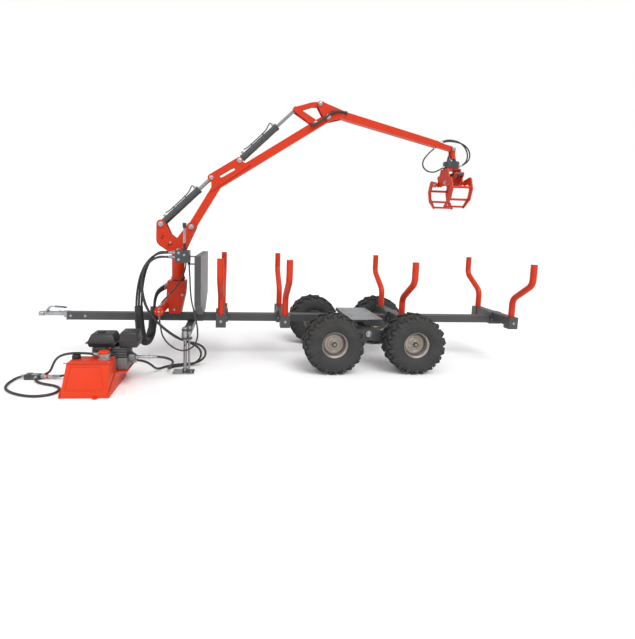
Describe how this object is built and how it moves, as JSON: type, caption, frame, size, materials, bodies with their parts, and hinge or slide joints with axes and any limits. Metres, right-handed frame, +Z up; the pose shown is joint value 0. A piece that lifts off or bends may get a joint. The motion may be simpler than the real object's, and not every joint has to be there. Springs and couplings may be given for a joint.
{
  "type": "forestry crane trailer",
  "caption": "Small timber trailer with bogie wheels, staked bolsters, a slewing knuckle-boom crane with rotator and grapple, support legs and a separate engine pack.",
  "frame": {"origin": "centre of the tow coupling's ball seat", "axes": "+X runs to the rear, +Y to the side away from the picture's viewer, +Z up"},
  "size_m": [4.818, 1.867, 2.589],
  "materials": {
    "frame_paint": "semi gloss dark grey",
    "crane_paint": "semi gloss orange red",
    "zinc": "zinc plated",
    "bright_rod": "polished",
    "tyre_rubber": "matt",
    "rim_metal": "satin silver",
    "cylinder_paint": "satin black",
    "tank_paint": "satin grey",
    "engine_metal": "cast",
    "black_plastic": "matt"
  },
  "bodies": {
    "chassis": {"axle_beam": "frame_paint", "axle_carrier": "zinc", "bogie_far": "frame_paint", "bogie_near": "frame_paint", "bolster_front": "frame_paint", "bolster_rear": "frame_paint", "bolster_second": "frame_paint", "bolster_third": "frame_paint", "control_levers": "black_plastic", "crane_base": "crane_paint", "headboard": "frame_paint", "leg_sleeve_far": "frame_paint", "leg_sleeve_near": "frame_paint", "main_beam": "frame_paint", "outrigger_beam": "frame_paint", "pack_air_filter": "black_plastic", "pack_engine": "engine_metal", "pack_fuel_tank": "black_plastic", "pack_skid": "tank_paint", "pack_tank": "tank_paint", "stakes": "frame_paint", "tow_coupling": "zinc", "valve_block": "engine_metal"},
    "king_post": {"king_post": "crane_paint"},
    "lift_barrel": {"lift_barrel": "cylinder_paint"},
    "lift_rod": {"lift_rod": "bright_rod"},
    "boom": {"main_boom": "crane_paint"},
    "jib_barrel": {"jib_barrel": "cylinder_paint"},
    "jib_rod": {"jib_rod": "bright_rod"},
    "lower_link": {"lower_link": "crane_paint"},
    "upper_link": {"upper_link": "crane_paint"},
    "jib": {"jib": "crane_paint"},
    "hanger": {"hanger": "crane_paint"},
    "rotator": {"rotator": "cylinder_paint"},
    "grapple_frame": {"grapple_frame": "crane_paint"},
    "jaw_near": {"jaw_near": "crane_paint"},
    "jaw_far": {"jaw_far": "crane_paint"},
    "grapple_barrel": {"grapple_barrel": "cylinder_paint"},
    "grapple_rod": {"grapple_rod": "bright_rod"},
    "leg_near": {"leg_near": "bright_rod"},
    "leg_far": {"leg_far": "bright_rod"},
    "wheel_near_front": {"tyre_near_front": "tyre_rubber", "rim_near_front": "rim_metal"},
    "wheel_near_rear": {"tyre_near_rear": "tyre_rubber", "rim_near_rear": "rim_metal"},
    "wheel_far_front": {"tyre_far_front": "tyre_rubber", "rim_far_front": "rim_metal"},
    "wheel_far_rear": {"tyre_far_rear": "tyre_rubber", "rim_far_rear": "rim_metal"}
  },
  "joints": [
    {"name": "slew", "type": "hinge", "parent": "chassis", "child": "king_post", "pos_m": [1.33, 0, 0.27], "axis": [0, 0, -1], "range_deg": [-150, 150]},
    {"name": "boom_lift", "type": "hinge", "parent": "king_post", "child": "boom", "pos_m": [1.466, 0, 0.89], "axis": [0, -1, 0], "range_deg": [-28, 9]},
    {"name": "lift_barrel_pivot", "type": "hinge", "parent": "king_post", "child": "lift_barrel", "pos_m": [1.171, 0, 0.911], "axis": [0, -1, 0], "range_deg": [-22, 8]},
    {"name": "lift_rod_slide", "type": "slide", "parent": "lift_barrel", "child": "lift_rod", "axis": [0.7196, 0, 0.6944], "range_m": [-0.035, 0.1]},
    {"name": "jib_fold", "type": "hinge", "parent": "boom", "child": "jib", "pos_m": [2.803, 0, 2.01], "axis": [0, 1, 0], "range_deg": [-20, 75]},
    {"name": "lower_link_pivot", "type": "hinge", "parent": "boom", "child": "lower_link", "pos_m": [2.679, 0, 1.946], "axis": [0, 1, 0], "range_deg": [-16, 56]},
    {"name": "upper_link_pivot", "type": "hinge", "parent": "jib", "child": "upper_link", "pos_m": [2.718, 0, 2.131], "axis": [0, 1, 0], "range_deg": [-49, 14]},
    {"name": "jib_barrel_pivot", "type": "hinge", "parent": "boom", "child": "jib_barrel", "pos_m": [1.931, 0, 1.555], "axis": [0, 1, 0], "range_deg": [-2, 3]},
    {"name": "jib_rod_slide", "type": "slide", "parent": "jib_barrel", "child": "jib_rod", "axis": [0.7243, 0, 0.6895], "range_m": [-0.062, 0.228]},
    {"name": "hanger_swing", "type": "hinge", "parent": "jib", "child": "hanger", "pos_m": [4.125, 0, 1.755], "axis": [0, 1, 0], "range_deg": [-100, 45]},
    {"name": "cross_swing", "type": "hinge", "parent": "hanger", "child": "rotator", "pos_m": [4.125, 0, 1.67], "axis": [1, 0, 0], "range_deg": [-30, 30]},
    {"name": "grapple_rotation", "type": "hinge", "parent": "rotator", "child": "grapple_frame", "pos_m": [4.125, 0, 1.57], "axis": [0, 0, 1], "continuous": true},
    {"name": "jaw_near_swing", "type": "hinge", "parent": "grapple_frame", "child": "jaw_near", "pos_m": [4.125, -0.12, 1.405], "axis": [1, 0, 0], "range_deg": [-30, 21]},
    {"name": "jaw_far_swing", "type": "hinge", "parent": "grapple_frame", "child": "jaw_far", "pos_m": [4.125, 0.12, 1.405], "axis": [1, 0, 0], "range_deg": [-21, 30]},
    {"name": "grapple_barrel_pivot", "type": "hinge", "parent": "jaw_near", "child": "grapple_barrel", "pos_m": [4.125, -0.19, 1.485], "axis": [1, 0, 0], "range_deg": [-21, 30]},
    {"name": "grapple_rod_slide", "type": "slide", "parent": "grapple_barrel", "child": "grapple_rod", "axis": [0, 1, 0], "range_m": [-0.088, 0.061]},
    {"name": "leg_near_slide", "type": "slide", "parent": "chassis", "child": "leg_near", "axis": [0, 0, 1], "range_m": [0, 0.255]},
    {"name": "leg_far_slide", "type": "slide", "parent": "chassis", "child": "leg_far", "axis": [0, 0, 1], "range_m": [-0.255, 0]},
    {"name": "wheel_near_front_spin", "type": "hinge", "parent": "chassis", "child": "wheel_near_front", "pos_m": [2.823, -0.56, -0.15], "axis": [0, 1, 0], "continuous": true},
    {"name": "wheel_near_rear_spin", "type": "hinge", "parent": "chassis", "child": "wheel_near_rear", "pos_m": [3.593, -0.56, -0.15], "axis": [0, 1, 0], "continuous": true},
    {"name": "wheel_far_front_spin", "type": "hinge", "parent": "chassis", "child": "wheel_far_front", "pos_m": [2.823, 0.56, -0.15], "axis": [0, 1, 0], "continuous": true},
    {"name": "wheel_far_rear_spin", "type": "hinge", "parent": "chassis", "child": "wheel_far_rear", "pos_m": [3.593, 0.56, -0.15], "axis": [0, 1, 0], "continuous": true}
  ],
  "couplings": [
    {"joint": "lift_barrel_pivot", "follows": "boom_lift", "ratio": 0.69},
    {"joint": "lift_rod_slide", "follows": "boom_lift", "m_per_rad": -0.192},
    {"joint": "lower_link_pivot", "follows": "jib_fold", "ratio": 0.73},
    {"joint": "upper_link_pivot", "follows": "jib_fold", "ratio": -0.635},
    {"joint": "jib_barrel_pivot", "follows": "jib_fold", "ratio": 0.02},
    {"joint": "jib_rod_slide", "follows": "jib_fold", "m_per_rad": 0.172},
    {"joint": "jaw_far_swing", "follows": "jaw_near_swing", "ratio": -1},
    {"joint": "grapple_barrel_pivot", "follows": "jaw_near_swing", "ratio": -1},
    {"joint": "grapple_rod_slide", "follows": "jaw_near_swing", "m_per_rad": 0.163}
  ]
}
